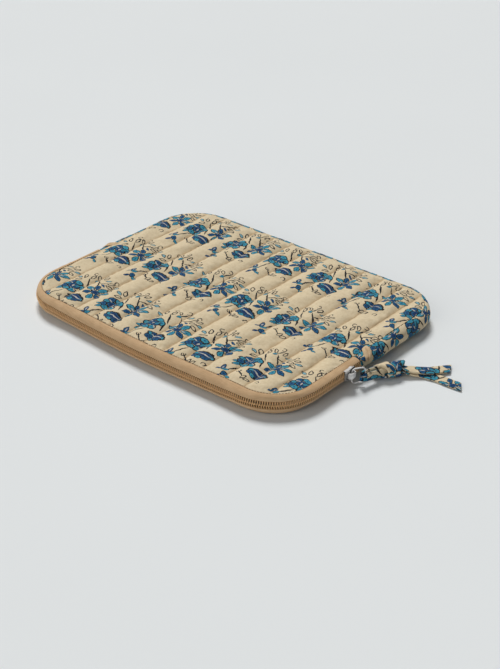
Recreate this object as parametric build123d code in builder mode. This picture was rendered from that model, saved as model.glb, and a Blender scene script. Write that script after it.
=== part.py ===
from build123d import *
import math
import os

# Quilted fabric laptop sleeve, lying flat and closed. Millimetres, +Z up.
# The origin is the middle of the underside. +X runs along the long side, the zip's long run
# faces -Y, the zip closes at the right end (+X) and the back edge (+Y) has no opening.

# Sleeve
LENGTH = 340.0
DEPTH = 256.0
THICKNESS = 22.0
CORNER_RADIUS = 52.0
RIM = 10.0                # width of the side wall in plan, from its seam to its outermost line
RIM_HEIGHT = 18.4         # height of the side wall between its two seams
MID = THICKNESS / 2
MOUTH_END = -18.0         # the zip ends here on both short sides, and the flap folds here
FOLD_GAP = 0.15

# Quilting
PITCH = 23.4
TOP_PHASE = 3.0           # a stitched line of the upper panel
FURROW_DEPTH = 2.4
FURROW_FLAT = 0.8
GROUND_FLAT = 0.5         # how far the lower channels are pressed flat by the ground
THREAD = 0.5

# Fabric layers
FABRIC = 1.0
LINING = 0.8
POCKET_HEIGHT = 8.8
BINDING = 1.6

# Zip, as distances outward from the sleeve's outermost line
TAPE_IN = -3.1
TAPE_OUT = -2.5
COIL_OUT = -0.5
COIL_GAP = 0.55           # from the zip's middle line to each coil
COIL_EDGE = 3.0
TAPE_EDGE = 5.0
BINDING_EDGE = 3.45

# Slider, ring and tie
SLIDER_Y = -37.0
SLIDER_LENGTH = 12.0
OUTER_PLATE = (-0.1, 1.3, 10.0)    # inner face, outer face, height
INNER_PLATE = (-5.0, -3.5, 8.0)
BLADE = 0.5
BRIDGE_WIDTH = 6.0
BRIDGE_SPAN = 4.4
BRIDGE_WALL = 1.2
BRIDGE_ROOM = 2.7
RING_WIRE = 1.3
RING_REACH = 12.5
RING_HEIGHT = 14.8
RING_CORNER = 2.0
RING_MID = 9.0
RING_X = LENGTH / 2 + 2.9
RING_Y = SLIDER_Y + 1.0
RING_HEADING = 58.0       # degrees from +X towards +Y
TIE_WIDTH = 8.0
TIE_THICK = 1.8
TAIL_WIDTH = 11.0
TAIL_EDGE = 0.7
LOOP_RADIUS = 0.95
LOOP_MID = 7.6
KNOT_CENTRE = (190.0, 5.5)
KNOT_RADIUS = 8.0
KNOT_HEIGHT = 11.6
FLOOR_GAP = 0.3

# Centre lines of the two tails, from inside the knot to their cut ends
LONG_TAIL = [
    (192.0, 8.5, 2.9), (202.6, 17.4, 2.2), (214.0, 22.6, 1.5), (226.0, 24.9, 1.3),
    (237.4, 24.6, 1.3), (247.0, 25.8, 1.3),
]
SHORT_TAIL = [
    (191.5, 9.0, 6.6), (201.0, 19.4, 5.9), (209.6, 28.4, 4.6), (216.4, 37.2, 2.9), (224.0, 44.6, 1.9),
]

SEAM_Y = DEPTH / 2 - CORNER_RADIUS
SEAM_X = LENGTH / 2 - CORNER_RADIUS
POCKET_TOP = MID + POCKET_HEIGHT / 2
LINING_TOP = POCKET_TOP + LINING
CREST = THICKNESS
FURROW = THICKNESS - FURROW_DEPTH

os.makedirs("parts", exist_ok=True)


def save(piece, label):
    """Labels a finished piece and writes it under that name."""
    piece.part.label = label
    export_step(piece.part, f"parts/{label}.step")


def flip(piece):
    """The same piece mirrored through the sleeve's middle plane."""
    with BuildPart() as mirrored:
        add(mirror(piece.part, about=Plane.XY.offset(MID), mode=Mode.PRIVATE))
    return mirrored


# Quilted panels

def panel_plan(front, back):
    """Plan of a quilted panel inside the side wall, between two depths."""
    with BuildSketch() as plan:
        RectangleRounded(LENGTH - 2 * RIM, DEPTH - 2 * RIM, CORNER_RADIUS - RIM)
        with Locations((0, (front + back) / 2)):
            Rectangle(LENGTH, back - front, mode=Mode.INTERSECT)
    return plan.sketch


def channel_lines(phase):
    """The stitched lines' places along X, one beyond each end of the panel."""
    first = math.floor((-LENGTH / 2 + RIM - phase) / PITCH)
    last = math.ceil((LENGTH / 2 - RIM - phase) / PITCH)
    return [phase + PITCH * step for step in range(first, last + 1)]


def channel_tops(lines, furrow, crest):
    """One run of padded channels, with a narrow flat on each stitched line."""
    flat = FURROW_FLAT / 2
    for left, right in zip(lines, lines[1:]):
        ThreePointArc((left + flat, furrow), ((left + right) / 2, crest), (right - flat, furrow))
        if right != lines[-1]:
            Line((right - flat, furrow), (right + flat, furrow))


def padded_slab(phase, front, back, bottom, drop, swell=0.0):
    """Slab from a flat bottom up to the channels' tops, lowered by drop."""
    lines = channel_lines(phase)
    furrow = FURROW - drop
    start = lines[0] + FURROW_FLAT / 2
    end = lines[-1] - FURROW_FLAT / 2
    with BuildPart() as slab:
        with BuildSketch(Plane.XZ):
            with BuildLine():
                channel_tops(lines, furrow, CREST + swell - drop)
                Polyline((end, furrow), (end, bottom), (start, bottom), (start, furrow))
            make_face()
        extrude(amount=DEPTH, both=True)
        with BuildSketch():
            add(panel_plan(front, back))
        extrude(amount=THICKNESS, mode=Mode.INTERSECT)
    return slab


def outer_layer(phase, front, back, swell=0.0):
    """The printed cotton: the channels' tops, less the same shape lowered by the fabric."""
    with BuildPart() as layer:
        add(padded_slab(phase, front, back, LINING_TOP, 0.0, swell).part)
        add(padded_slab(phase, front, back, LINING_TOP - FABRIC, FABRIC, swell).part, mode=Mode.SUBTRACT)
    return layer


def lining_layer(front, back):
    with BuildPart() as layer:
        with BuildSketch(Plane.XY.offset(POCKET_TOP)):
            add(panel_plan(front, back))
        extrude(amount=LINING)
    return layer


def quilting_threads(phase, front, back):
    """One stitched run in each furrow, as a group of straight bars."""
    with BuildPart() as threads:
        with BuildSketch(Plane.XY.offset(FURROW)):
            for place in channel_lines(phase)[1:-1]:
                with Locations((place, 0)):
                    Rectangle(THREAD, DEPTH)
            add(panel_plan(front, back), mode=Mode.INTERSECT)
        extrude(amount=THREAD * 0.7)
    return threads


BACK = DEPTH / 2
FRONT = -DEPTH / 2
REAR_PANEL = (MOUTH_END + FOLD_GAP, BACK)
FLAP_PANEL = (FRONT, MOUTH_END - FOLD_GAP)
WHOLE_PANEL = (FRONT, BACK)
LOW_PHASE = PITCH / 2

for label, reach in (("upper_rear", REAR_PANEL), ("flap", FLAP_PANEL)):
    save(outer_layer(TOP_PHASE, *reach), f"{label}_outer")
    save(padded_slab(TOP_PHASE, *reach, LINING_TOP, FABRIC), f"{label}_wadding")
    save(lining_layer(*reach), f"{label}_lining")
    save(quilting_threads(TOP_PHASE, *reach), f"{label}_quilting_thread")

save(flip(outer_layer(LOW_PHASE, *WHOLE_PANEL, GROUND_FLAT)), "lower_outer")
save(flip(padded_slab(LOW_PHASE, *WHOLE_PANEL, LINING_TOP, FABRIC, GROUND_FLAT)), "lower_wadding")
save(flip(lining_layer(*WHOLE_PANEL)), "lower_lining")
save(flip(quilting_threads(LOW_PHASE, *WHOLE_PANEL)), "lower_quilting_thread")


# Side wall. Its sections are drawn on a plane whose local x points outward, from the
# outermost line, and whose local y is up, and are swept along that line.

def zip_run(end):
    """The outermost line round the front, from the right end of the mouth to the left one."""
    x = LENGTH / 2
    with BuildLine() as run:
        Line((x, end), (x, -SEAM_Y))
        RadiusArc((x, -SEAM_Y), (SEAM_X, FRONT), CORNER_RADIUS)
        Line((SEAM_X, FRONT), (-SEAM_X, FRONT))
        RadiusArc((-SEAM_X, FRONT), (-x, -SEAM_Y), CORNER_RADIUS)
        Line((-x, -SEAM_Y), (-x, end))
    return run.wire()


def wall_run(end):
    """The outermost line round the back, from the left end of the mouth to the right one."""
    x = LENGTH / 2
    with BuildLine() as run:
        Line((-x, end), (-x, SEAM_Y))
        RadiusArc((-x, SEAM_Y), (-SEAM_X, BACK), CORNER_RADIUS)
        Line((-SEAM_X, BACK), (SEAM_X, BACK))
        RadiusArc((SEAM_X, BACK), (x, SEAM_Y), CORNER_RADIUS)
        Line((x, SEAM_Y), (x, end))
    return run.wire()


def zip_plane(end):
    return Plane(origin=(LENGTH / 2, end, MID), x_dir=(1, 0, 0), z_dir=(0, -1, 0))


def wall_plane(end):
    return Plane(origin=(-LENGTH / 2, end, MID), x_dir=(-1, 0, 0), z_dir=(0, 1, 0))


def rim_shell(depth_out, depth_in):
    """Elliptical wall section between two depths below its outer surface."""
    with Locations((-RIM, 0)):
        Ellipse(RIM - depth_out, RIM_HEIGHT / 2 - depth_out)
        Ellipse(RIM - depth_in, RIM_HEIGHT / 2 - depth_in, mode=Mode.SUBTRACT)
    with Locations((-RIM / 2, 0)):
        Rectangle(RIM, THICKNESS, mode=Mode.INTERSECT)


def zip_bar(inner, outer, low, high, end):
    """Bar of the zip: a rectangle of the section, swept round the mouth."""
    with BuildPart() as bar:
        with BuildSketch(zip_plane(end)):
            with Locations(((inner + outer) / 2, (low + high) / 2)):
                Rectangle(outer - inner, high - low)
        sweep(path=zip_run(end))
    return bar


def binding_band(end):
    """Folded bias binding from the panel's seam down to the coil, with the tape's edge inside it."""
    with BuildPart() as band:
        with BuildSketch(zip_plane(end)):
            rim_shell(0, BINDING)
            with Locations((-RIM / 2, BINDING_EDGE + MID / 2)):
                Rectangle(RIM, MID, mode=Mode.INTERSECT)
            with Locations(((TAPE_IN + TAPE_OUT) / 2, TAPE_EDGE / 2)):
                Rectangle(TAPE_OUT - TAPE_IN, TAPE_EDGE, mode=Mode.SUBTRACT)
        sweep(path=zip_run(end))
    return band


def binding_thread(end):
    """Row of top stitching beside the binding's seam."""
    with BuildPart() as thread:
        with BuildSketch(zip_plane(end)):
            with Locations((-RIM + THREAD, RIM_HEIGHT / 2 + THREAD / 2)):
                Rectangle(THREAD, THREAD)
        sweep(path=zip_run(end))
    return thread


FLAP_END = MOUTH_END - FOLD_GAP
zip_parts = (
    ("binding", binding_band(FLAP_END), binding_band(MOUTH_END)),
    ("binding_thread", binding_thread(FLAP_END), binding_thread(MOUTH_END)),
    ("zip_tape", zip_bar(TAPE_IN, TAPE_OUT, COIL_GAP, TAPE_EDGE, FLAP_END),
     zip_bar(TAPE_IN, TAPE_OUT, COIL_GAP, TAPE_EDGE, MOUTH_END)),
    ("zip_coil", zip_bar(TAPE_OUT, COIL_OUT, COIL_GAP, COIL_EDGE, FLAP_END),
     zip_bar(TAPE_OUT, COIL_OUT, COIL_GAP, COIL_EDGE, MOUTH_END)),
)
for label, upper, lower in zip_parts:
    save(upper, f"upper_{label}")
    save(flip(lower), f"lower_{label}")

WALL_END = MOUTH_END + FOLD_GAP
WALL_LINING = RIM_HEIGHT / 2 - POCKET_HEIGHT / 2
wall_layers = (
    ("wall_outer", 0.0, FABRIC),
    ("wall_wadding", FABRIC, WALL_LINING - LINING),
    ("wall_lining", WALL_LINING - LINING, WALL_LINING),
)
for label, depth_out, depth_in in wall_layers:
    with BuildPart() as wall:
        with BuildSketch(wall_plane(WALL_END)):
            rim_shell(depth_out, depth_in)
        sweep(path=wall_run(WALL_END))
    save(wall, label)

# Folded fabric tabs over the two ends of the zip
TAB_START = -14.5
TAB_LENGTH = 12.5
TAB_THICK = 2.0
TAB_LOW = -2.0
TAB_HIGH = 8.6


def end_tab(side):
    start = Plane(origin=(side * LENGTH / 2, TAB_START, MID), x_dir=(side, 0, 0), z_dir=(0, -side, 0))
    with BuildPart() as tab:
        with BuildSketch(start):
            with Locations((-RIM, 0)):
                Ellipse(RIM + TAB_THICK, RIM_HEIGHT / 2 + TAB_THICK)
                Ellipse(RIM, RIM_HEIGHT / 2, mode=Mode.SUBTRACT)
            with Locations((0, (TAB_LOW + TAB_HIGH) / 2)):
                Rectangle(RIM, TAB_HIGH - TAB_LOW, mode=Mode.INTERSECT)
        extrude(amount=-side * TAB_LENGTH)
    return tab


save(end_tab(1), "zip_end_tab_right")
save(end_tab(-1), "zip_end_tab_left")


# Slider: two plates joined by a thin blade between the coils, with a bridge for the ring

def slider_block(inner, outer, height, start, length):
    """Block of the slider, from its back end start, between two outward distances."""
    with Locations((LENGTH / 2 + (inner + outer) / 2, start + length / 2, MID)):
        Box(outer - inner, length, height)


with BuildPart() as slider:
    slider_block(*OUTER_PLATE, SLIDER_Y - SLIDER_LENGTH / 2, SLIDER_LENGTH)
    slider_block(*INNER_PLATE, SLIDER_Y - SLIDER_LENGTH / 2, SLIDER_LENGTH)
    fillet(slider.edges().filter_by(Axis.X), 2.4)
    slider_block(INNER_PLATE[1], OUTER_PLATE[0], BLADE, SLIDER_Y + 1.5, 4.0)
    bridge_out = OUTER_PLATE[1] + BRIDGE_ROOM + BRIDGE_WALL
    bridge_length = BRIDGE_SPAN + 2 * BRIDGE_WALL
    with Locations((LENGTH / 2 + (OUTER_PLATE[1] + bridge_out) / 2, RING_Y, MID)):
        Box(bridge_out - OUTER_PLATE[1], bridge_length, BRIDGE_WIDTH)
    arch = slider.edges().filter_by(Axis.Z).group_by(Axis.X)[-1]
    fillet(arch, 1.4)
    with Locations((LENGTH / 2 + OUTER_PLATE[1] + BRIDGE_ROOM / 2, RING_Y, MID)):
        Box(BRIDGE_ROOM, BRIDGE_SPAN, BRIDGE_WIDTH + 1, mode=Mode.SUBTRACT)
save(slider, "slider")


# Wire ring through the bridge

def heading_plane(x, y, z, heading):
    """Upright plane through a point: local x along the heading, local y up."""
    turn = math.radians(heading)
    along = (math.cos(turn), math.sin(turn), 0)
    return Plane(origin=(x, y, z), x_dir=along, z_dir=(along[1], -along[0], 0))


with BuildSketch(heading_plane(RING_X, RING_Y, RING_MID, RING_HEADING)) as ring_outline:
    with Locations((RING_REACH / 2, 0)):
        RectangleRounded(RING_REACH, RING_HEIGHT, RING_CORNER)
ring_path = ring_outline.sketch.face().outer_wire()

with BuildPart() as pull_ring:
    with BuildSketch(Plane(origin=ring_path @ 0, z_dir=ring_path % 0)):
        Circle(RING_WIRE / 2)
    sweep(path=ring_path)
save(pull_ring, "pull_ring")


# Fabric tie, knotted through the ring

turn = math.radians(RING_HEADING)
ring_far_x = RING_X + RING_REACH * math.cos(turn)
ring_far_y = RING_Y + RING_REACH * math.sin(turn)

with BuildPart() as knot:
    with BuildSketch(Plane.XY.offset(FLOOR_GAP)):
        with Locations(KNOT_CENTRE):
            Circle(KNOT_RADIUS)
    extrude(amount=KNOT_HEIGHT)
    fillet(knot.edges(), 3.5)
save(knot, "tie_knot")

to_knot = math.atan2(KNOT_CENTRE[1] - ring_far_y, KNOT_CENTRE[0] - ring_far_x)
leg = math.hypot(KNOT_CENTRE[1] - ring_far_y, KNOT_CENTRE[0] - ring_far_x)
loop_plane = Plane(
    origin=(ring_far_x, ring_far_y, LOOP_MID - TIE_WIDTH / 2),
    x_dir=(math.cos(to_knot), math.sin(to_knot), 0),
    z_dir=(0, 0, 1),
)
with BuildPart() as tie_loop:
    with BuildSketch(loop_plane):
        for radius, mode in ((LOOP_RADIUS + TIE_THICK, Mode.ADD), (LOOP_RADIUS, Mode.SUBTRACT)):
            Circle(radius, mode=mode)
            with Locations((leg / 2, 0)):
                Rectangle(leg, 2 * radius, mode=mode)
    extrude(amount=TIE_WIDTH)
    add(knot.part, mode=Mode.SUBTRACT)
save(tie_loop, "tie_loop")


def bend_radii(route):
    """The largest arc that fits at each inner point of a route."""
    points = [Vector(*point) for point in route]
    radii = []
    for before, here, after in zip(points, points[1:], points[2:]):
        shorter = min((here - before).length, (after - here).length)
        half_turn = math.radians((here - before).get_angle(after - here)) / 2
        radii.append(0.45 * shorter / math.tan(half_turn))
    return radii


def flat_tail(route):
    """A flat strip laid along a route, less the part inside the knot."""
    with BuildPart() as tail:
        with BuildLine() as line:
            FilletPolyline(*route, radius=bend_radii(route))
        path = line.wire()
        start = path % 0
        with BuildSketch(Plane(origin=path @ 0, x_dir=(start.Y, -start.X, 0), z_dir=start)):
            RectangleRounded(TAIL_WIDTH, TIE_THICK, TAIL_EDGE)
        sweep(path=path)
        add(knot.part, mode=Mode.SUBTRACT)
    return tail


save(flat_tail(LONG_TAIL), "tie_tail_long")
save(flat_tail(SHORT_TAIL), "tie_tail_short")
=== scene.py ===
import math

import bmesh
import bpy
import numpy as np
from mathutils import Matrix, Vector
from mathutils.bvhtree import BVHTree


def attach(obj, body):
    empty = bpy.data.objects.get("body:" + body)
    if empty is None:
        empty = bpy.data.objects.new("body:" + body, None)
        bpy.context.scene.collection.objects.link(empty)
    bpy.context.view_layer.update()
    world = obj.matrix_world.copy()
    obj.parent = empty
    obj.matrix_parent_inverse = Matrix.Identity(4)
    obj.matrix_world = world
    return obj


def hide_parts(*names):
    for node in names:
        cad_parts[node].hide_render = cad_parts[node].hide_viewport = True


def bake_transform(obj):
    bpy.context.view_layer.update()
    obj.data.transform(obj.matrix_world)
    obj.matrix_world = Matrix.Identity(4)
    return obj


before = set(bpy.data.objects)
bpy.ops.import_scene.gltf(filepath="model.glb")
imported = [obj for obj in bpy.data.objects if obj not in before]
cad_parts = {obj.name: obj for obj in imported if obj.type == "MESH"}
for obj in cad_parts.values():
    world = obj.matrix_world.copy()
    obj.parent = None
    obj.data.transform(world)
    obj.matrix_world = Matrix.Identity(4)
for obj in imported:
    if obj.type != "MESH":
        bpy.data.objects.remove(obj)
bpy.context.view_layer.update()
scene = bpy.context.scene
scene.view_settings.view_transform = "Standard"

# Lengths below are millimetres, as in the CAD, and MM turns them into scene units.
MM = 0.001

# Sleeve
HALF_LENGTH = 170.0
HALF_DEPTH = 128.0
CORNER = 52.0
RIM = 8.6
MID = 11.0
RIM_RISE = 8.6
LOW_RISE = 9.9
BOW = 3.2
MOUTH_END = -18.0
FLAP_END = -18.15
WALL_START = -17.85
SEAM_Y = HALF_DEPTH - CORNER
SEAM_X = HALF_LENGTH - CORNER

# Quilting
PITCH = 23.4
TOP_PHASE = 3.0
LOW_PHASE = PITCH / 2
CREST = 22.0
FURROW = 18.9
SEAM_Z = 19.5
LINING_TOP = 16.2
POCKET_TOP = 15.4
STITCH = 3.1
STITCH_GAP = 0.6

# Cloth swell between the stitched lines
SWELL_PRESSURE = 3.0
SWELL_GROW = 0.03
SWELL_FRAMES = 16
SWELL_CAP = 1.1
GROUND_FLAT = 0.55          # how far the ground presses the lower channels in

# Zip: how far it sags along the front and rises beside the slider
SAG = 1.2
SLIDER_RISE = 2.5
# Where the rim moves: each pair is a start and the width over which it fades in
SAG_FRONT, SAG_ENDS = (95, 20), (90, 30)
RISE_SIDE, RISE_FROM, RISE_TO = (150, 15), (-116, 40), (-4, 22)
BOW_FRONT = (50, 70)
# Heights that stay still by the floor and by the upper seam, and the height of the fade between
FLOOR_SKIN, SEAM_SKIN, FADE_HEIGHT = 0.2, 2.4, 5.0


# ---------------------------------------------------------------- mesh helpers

def ease(value):
    """0 to 1 with level ends."""
    clipped = np.clip(value, 0.0, 1.0)
    return clipped * clipped * (3 - 2 * clipped)


def fade(value, start, width):
    """0 up to a start, then easing to 1 over a width."""
    return ease((value - start) / width)


def sag(x, y, z):
    """How far the soft rim moves up: its zip sags along the front and is lifted beside the slider."""
    under_seam = np.clip((2 * MID - SEAM_SKIN - z) / FADE_HEIGHT, 0, 1)
    off_floor = np.clip((z - FLOOR_SKIN) / FADE_HEIGHT, 0, 1)
    front = fade(-y, *SAG_FRONT) * (1 - fade(np.abs(x), *SAG_ENDS))
    pulled = fade(x, *RISE_SIDE) * fade(y, *RISE_FROM) * (1 - fade(y, *RISE_TO))
    return under_seam * (SLIDER_RISE * pulled - SAG * front * off_floor)


def settled(points):
    """The same points as the soft sleeve lies: its front edge bellied out a little, its rim sagged."""
    points = np.array(points, float)
    x, y, z = (points[..., axis].copy() for axis in range(3))
    middle = np.cos(np.clip(x / SEAM_X, -1, 1) * math.pi / 2) ** 2
    points[..., 1] = y - BOW * middle * fade(-y, *BOW_FRONT)
    points[..., 2] = z + sag(x, y, z)
    return points


def mesh_piece(name, points, faces, material, flat=None, closed=True, soft=True):
    """A smooth-shaded mesh object from millimetre points, with cloth-flat coordinates if it has any."""
    mesh = bpy.data.meshes.new(name)
    points = settled(points) if soft else np.asarray(points, float)
    mesh.from_pydata((points * MM).reshape(-1, 3).tolist(), [], faces)
    mesh.update()
    if flat is not None:
        attribute = mesh.attributes.new("flat", "FLOAT_VECTOR", "POINT")
        attribute.data.foreach_set("vector", np.asarray(flat, float).ravel())
    if closed:
        shell = bmesh.new()
        shell.from_mesh(mesh)
        bmesh.ops.recalc_face_normals(shell, faces=shell.faces)
        shell.to_mesh(mesh)
        shell.free()
    mesh.polygons.foreach_set("use_smooth", [True] * len(mesh.polygons))
    mesh.materials.append(material)
    piece = bpy.data.objects.new(name, mesh)
    scene.collection.objects.link(piece)
    return piece


def grid_faces(rows, columns, wrap=False, first=0):
    """Quads over rows x columns points, where wrap joins the last column to the first."""
    faces = []
    for row in range(rows - 1):
        for column in range(columns if wrap else columns - 1):
            beside = (column + 1) % columns
            a = first + row * columns
            faces.append((a + column, a + beside, a + columns + beside, a + columns + column))
    return faces


def tube_faces(rings, sides, first=0):
    """Quads along a tube of rings, with a face over each end."""
    faces = grid_faces(rings, sides, wrap=True, first=first)
    last = first + (rings - 1) * sides
    faces.append(tuple(range(first, first + sides))[::-1])
    faces.append(tuple(range(last, last + sides)))
    return faces


def loop_faces(rings, sides):
    """Quads along a tube that closes on itself."""
    total = rings * sides
    return [tuple(k % total for k in face) for face in grid_faces(rings + 1, sides, wrap=True)]


def sheet_faces(rows, columns):
    """Faces of two layers of rows x columns points, joined round their edge."""
    size = rows * columns
    faces = grid_faces(rows, columns)
    faces += [face[::-1] for face in grid_faces(rows, columns, first=size)]
    rim = list(range(columns))
    rim += [row * columns + columns - 1 for row in range(1, rows)]
    rim += [(rows - 1) * columns + k for k in range(columns - 2, -1, -1)]
    rim += [row * columns for row in range(rows - 2, 0, -1)]
    return faces + [(a, b, b + size, a + size) for a, b in zip(rim, rim[1:] + rim[:1])]


def smoothed(piece):
    """Subdivides a piece once and applies it, so that its mesh is final."""
    step = piece.modifiers.new("smooth", "SUBSURF")
    step.levels = step.render_levels = 1
    graph = bpy.context.evaluated_depsgraph_get()
    mesh = bpy.data.meshes.new_from_object(piece.evaluated_get(graph))
    old = piece.data
    piece.modifiers.clear()
    piece.data = mesh
    mesh.name = piece.name
    bpy.data.meshes.remove(old)
    return piece


def unit(vectors):
    """Vectors scaled to a length of 1."""
    return vectors / np.linalg.norm(vectors, axis=-1, keepdims=True)


def tangents(path):
    """Directions along an open path."""
    return unit(np.gradient(path, axis=0))


def loop_tangents(path):
    """Directions along a path that closes on itself."""
    return unit(np.roll(path, -1, axis=0) - np.roll(path, 1, axis=0))


def distances(points):
    """Distance along a path to each of its points."""
    return np.concatenate([[0], np.cumsum(np.linalg.norm(np.diff(points, axis=0), axis=1))])


def sampled(values, along, places):
    """Columns of values, known at distances along, read at other places."""
    return np.stack([np.interp(places, along, column) for column in values.T], axis=-1)


def mirrored(points, turned=True):
    """Points or sections turned over about the zip's middle height, which their last number gives."""
    points = np.array(points, float)
    if turned:
        points[..., -1] = 2 * MID - points[..., -1]
    return points


def ripples(u, v, count, shortest, longest, seed):
    """Soft irregular waves over two flat coordinates, about -1 to 1."""
    draw = np.random.default_rng(seed)
    total = np.zeros(np.broadcast(u, v).shape)
    for _ in range(count):
        heading = draw.uniform(0, math.pi)
        wave = 2 * math.pi / draw.uniform(shortest, longest)
        phase = draw.uniform(0, 2 * math.pi)
        total = total + np.sin(wave * (u * math.cos(heading) + v * math.sin(heading)) + phase)
    return total / math.sqrt(count)


# ---------------------------------------------------------------- plan of the rim

PANEL_X = HALF_LENGTH - RIM
PANEL_Y = HALF_DEPTH - RIM
PANEL_CORNER = 37.0
OFF_STITCH = 9.0            # third flat coordinate of cloth with no stitched line near it


def edge_distance(x, y):
    """Distance inward from the panel's seam."""
    qx = np.abs(x) - PANEL_X + PANEL_CORNER
    qy = np.abs(y) - PANEL_Y + PANEL_CORNER
    outside = np.hypot(np.maximum(qx, 0), np.maximum(qy, 0))
    return PANEL_CORNER - outside - np.minimum(np.maximum(qx, qy), 0)


def rim_line(start, side, step):
    """The sleeve's outermost line round the front (side -1) or back (side 1), from its right end.

    Returns the points, the outward directions and the distance along."""
    corner_y = side * SEAM_Y
    quarter = math.pi / 2
    points, outward = [], []

    def straight(a, b, normal):
        count = max(2, round(math.dist(a, b) / step))
        for k in range(count):
            points.append([a[i] + (b[i] - a[i]) * k / count for i in (0, 1)])
            outward.append(normal)

    def turn(centre, begin):
        count = round(CORNER * quarter / step)
        for k in range(count):
            angle = begin + side * quarter * k / count
            outward.append((math.cos(angle), math.sin(angle)))
            points.append([centre[i] + CORNER * outward[-1][i] for i in (0, 1)])

    straight((HALF_LENGTH, start), (HALF_LENGTH, corner_y), (1, 0))
    turn((SEAM_X, corner_y), 0)
    straight((SEAM_X, side * HALF_DEPTH), (-SEAM_X, side * HALF_DEPTH), (0, side))
    turn((-SEAM_X, corner_y), side * quarter)
    straight((-HALF_LENGTH, corner_y), (-HALF_LENGTH, start), (-1, 0))
    points.append([-HALF_LENGTH, start])
    outward.append((-1, 0))
    points, outward = np.array(points, float), np.array(outward, float)
    return points, outward, distances(points)


def rim_points(line, section):
    """Every section point (outward, height) at every place of a rim line: stations x section x 3."""
    points, outward, _ = line
    section = np.asarray(section, float)
    if section.ndim == 2:
        section = np.broadcast_to(section, (len(points), *section.shape))
    plan = points[:, None, :] + outward[:, None, :] * section[:, :, :1]
    return np.concatenate([plan, section[:, :, 1:]], axis=2)


def plain_flat(along, across):
    """Flat coordinates of cloth with no stitched line near it, from distances along and across it."""
    return np.stack(np.broadcast_arrays(along, across, OFF_STITCH), axis=-1)


def rim_piece(name, line, section, material):
    """A closed band swept round the rim. Its flat coordinates run along it and round its section."""
    places = rim_points(line, section)
    flat = plain_flat(line[2][:, None], distances(places[0]))
    return mesh_piece(name, places, tube_faces(*places.shape[:2]), material, flat)


def seam_inset(line):
    """How far inside the rim line the panel's seam runs, at each place: less round the corners."""
    points, outward, _ = line
    inset = np.full(len(points), RIM)
    for _ in range(12):
        spot = points - outward * inset[:, None]
        inset = inset - edge_distance(spot[:, 0], spot[:, 1])
    return inset


def rim_section(line, depth, low, high, count, rise=RIM_RISE):
    """The rim's rounded side at a depth below its surface, between two angles in degrees."""
    inset = seam_inset(line)[:, None]
    angles = np.radians(np.linspace(low, high, count))[None, :]
    height = np.broadcast_to(MID + (rise - depth) * np.sin(angles), (len(inset), count))
    return np.stack([-inset + (inset - depth) * np.cos(angles), height], axis=2)


# ---------------------------------------------------------------- materials

def set_inputs(net, node, inputs):
    """Links each input to the socket given for it, or sets its value."""
    for key, value in inputs.items():
        socket = node.inputs[key]
        if isinstance(value, bpy.types.NodeSocket):
            net.links.new(value, socket)
        else:
            socket.default_value = (*value, 1.0) if socket.type == "RGBA" else value


def add_node(net, kind, inputs=None, **settings):
    """A new shader node with its settings, then its inputs."""
    node = net.nodes.new("ShaderNode" + kind)
    for name, value in settings.items():
        setattr(node, name, value)
    set_inputs(net, node, inputs or {})
    return node


def new_material(name):
    """A material, its node tree and its shader."""
    material = bpy.data.materials.new(name)
    material.use_nodes = True
    net = material.node_tree
    return material, net, net.nodes["Principled BSDF"]


def noise_node(net, vector, scale, detail=3.0, rough=0.55, output="Fac"):
    inputs = {"Vector": vector, "Scale": scale, "Detail": detail, "Roughness": rough}
    return add_node(net, "TexNoise", inputs).outputs[output]


def math_node(net, kind, *values):
    return add_node(net, "Math", dict(enumerate(values)), operation=kind).outputs[0]


def vector_node(net, kind, *values, output=0):
    return add_node(net, "VectorMath", dict(enumerate(values)), operation=kind).outputs[output]


def mapping_node(net, vector, kind="POINT", **placing):
    return add_node(net, "Mapping", {"Vector": vector, **placing}, vector_type=kind).outputs[0]


def split_node(net, vector):
    return add_node(net, "SeparateXYZ", {0: vector}).outputs


def ramp_node(net, factor, stops):
    node = add_node(net, "ValToRGB", {0: factor})
    elements = node.color_ramp.elements
    while len(elements) < len(stops):
        elements.new(0.5)
    for element, (place, colour) in zip(elements, stops):
        element.position = place
        element.color = (*colour, 1.0)
    return node.outputs[0]


def mix_node(net, factor, first, second):
    return add_node(net, "Mix", {0: factor, 6: first, 7: second}, data_type="RGBA").outputs[2]


def bump_node(net, height, strength, distance):
    inputs = {"Height": height, "Strength": strength, "Distance": distance}
    return add_node(net, "Bump", inputs).outputs["Normal"]


def flat_vector(net):
    return add_node(net, "Attribute", attribute_name="flat").outputs["Vector"]


def object_vector(net):
    return add_node(net, "TexCoord").outputs["Object"]


# Block print: a repeating spray of flowers, in millimetres of flat cloth
REPEAT_X = 55.5
REPEAT_Y = 88.0
MOTIF_X = 36.75
MOTIF_LOW = -41.0
MOTIF_Y = -9.0

NAVY = (0.004, 0.030, 0.110)
BLUE = (0.007, 0.105, 0.240)
TEAL = (0.040, 0.290, 0.400)
PALE = (0.22, 0.42, 0.48)
CREAM = (0.50, 0.49, 0.45)
INK = (0.010, 0.010, 0.014)
GROUND = (0.70, 0.58, 0.39)
# painted shade: the colour and width of the shade painted into the creases beside the stitched lines
CREASE_SHADE = (0.52, 0.36, 0.19)
CREASE_SHADE_WIDTH = 3.0

PALETTES = {
    "navy": [(0.0, NAVY), (0.50, NAVY), (0.64, BLUE), (0.76, BLUE), (0.83, INK)],
    "blue": [(0.0, NAVY), (0.24, NAVY), (0.40, BLUE), (0.70, BLUE), (0.78, INK)],
    "teal": [(0.0, BLUE), (0.16, BLUE), (0.30, TEAL), (0.70, TEAL), (0.77, INK)],
    "pale": [(0.0, TEAL), (0.25, PALE), (0.60, PALE), (0.67, INK)],
    "cream": [(0.0, CREAM), (0.66, CREAM), (0.84, NAVY)],
    "stripe": [(0.0, CREAM), (0.20, CREAM), (0.32, NAVY), (0.55, BLUE), (0.70, BLUE), (0.78, INK)],
    "open": [(0.0, GROUND), (0.48, GROUND), (0.56, INK)],
}

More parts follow.
